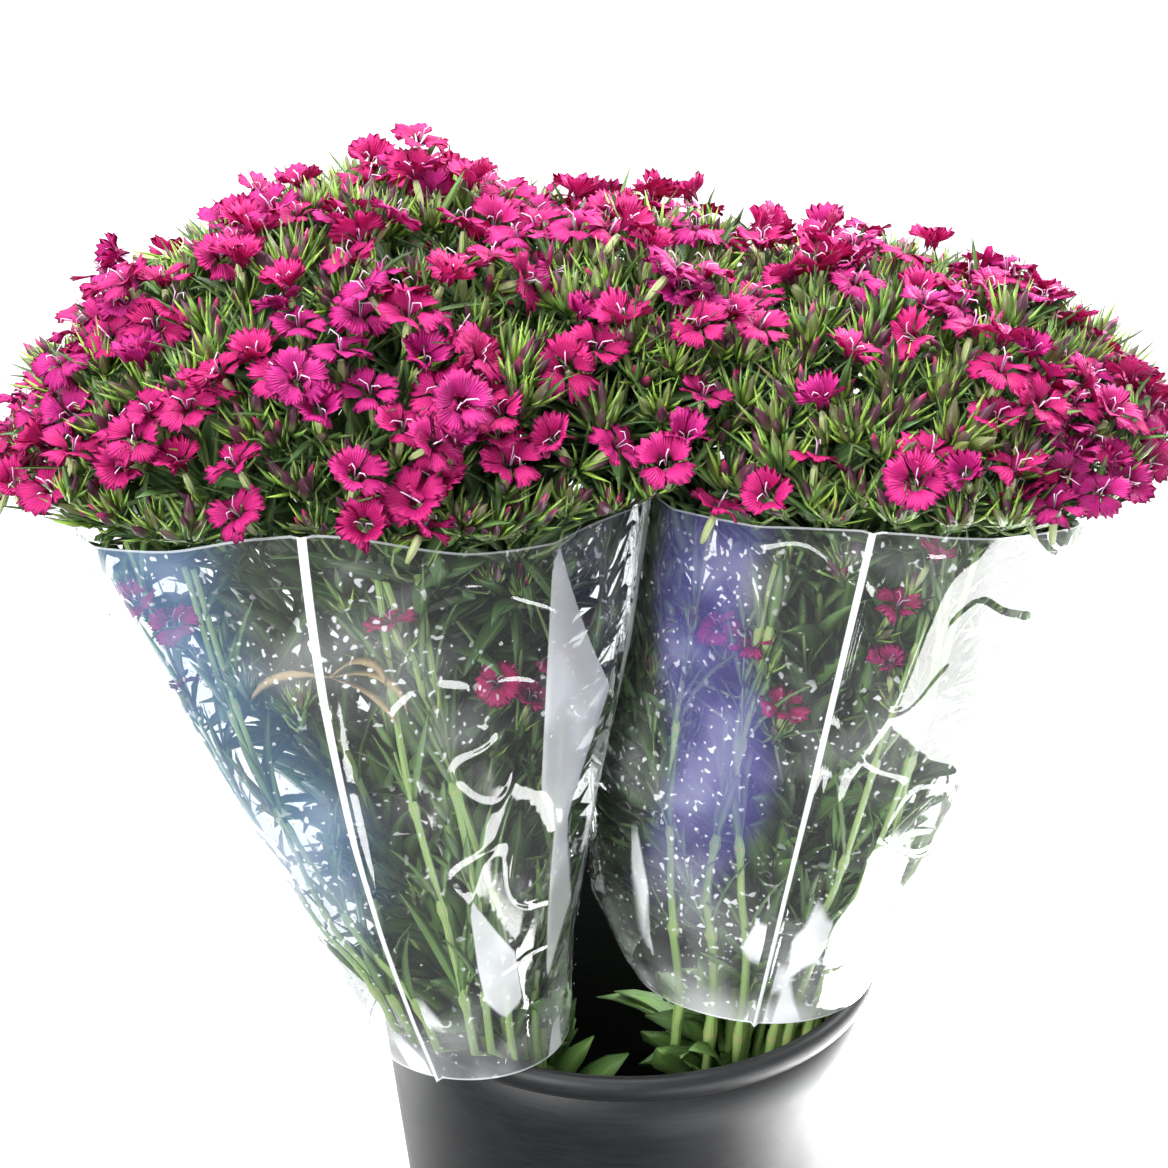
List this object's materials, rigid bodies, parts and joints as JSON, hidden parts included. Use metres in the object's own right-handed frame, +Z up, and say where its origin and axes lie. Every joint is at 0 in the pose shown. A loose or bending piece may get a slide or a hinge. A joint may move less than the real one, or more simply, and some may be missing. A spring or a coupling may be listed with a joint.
{
  "type": "dianthus plant",
  "caption": "Bunches of cut magenta dianthus stems with leaves, buds and open flowers, in clear film sleeves, standing in a round black flower bucket of water.",
  "frame": {"origin": "centre of the bucket's flat underside, on the floor", "axes": "+X towards the smaller bunch, which is on the right in the picture; +Y away from the viewer, along the shorter side of the two bunches; +Z up"},
  "size_m": [0.6105, 0.3895, 0.7271],
  "materials": {
    "bucket": "moulded, softly shining",
    "water": "still water, stood in for by glass",
    "film": "clear film",
    "greenery": "living leaf, stood in for by matte plastic",
    "petals": "living petal, stood in for by fabric"
  },
  "bodies": {
    "root": {"bucket": "bucket", "flowers_left_01_a": "petals", "flowers_left_01_b": "petals", "flowers_left_02_a": "petals", "flowers_left_02_b": "petals", "flowers_left_03_a": "petals", "flowers_left_03_b": "petals", "flowers_left_04_a": "petals", "flowers_left_04_b": "petals", "flowers_left_05_a": "petals", "flowers_left_05_b": "petals", "flowers_left_06_a": "petals", "flowers_left_06_b": "petals", "flowers_left_07_a": "petals", "flowers_left_07_b": "petals", "flowers_left_08_a": "petals", "flowers_left_08_b": "petals", "flowers_right_01_a": "petals", "flowers_right_01_b": "petals", "flowers_right_02_a": "petals", "flowers_right_02_b": "petals", "flowers_right_03_a": "petals", "flowers_right_03_b": "petals", "flowers_right_04_a": "petals", "flowers_right_04_b": "petals", "flowers_right_05_a": "petals", "flowers_right_05_b": "petals", "flowers_right_06_a": "petals", "flowers_right_06_b": "petals", "flowers_right_07_a": "petals", "sleeve_left": "film", "sleeve_right": "film", "spray_left_01": "greenery", "spray_left_02": "greenery", "spray_left_03": "greenery", "spray_left_04": "greenery", "spray_left_05": "greenery", "spray_left_06": "greenery", "spray_left_07": "greenery", "spray_left_08": "greenery", "spray_right_01": "greenery", "spray_right_02": "greenery", "spray_right_03": "greenery", "spray_right_04": "greenery", "spray_right_05": "greenery", "spray_right_06": "greenery", "spray_right_07": "greenery", "water": "water"}
  },
  "joints": []
}
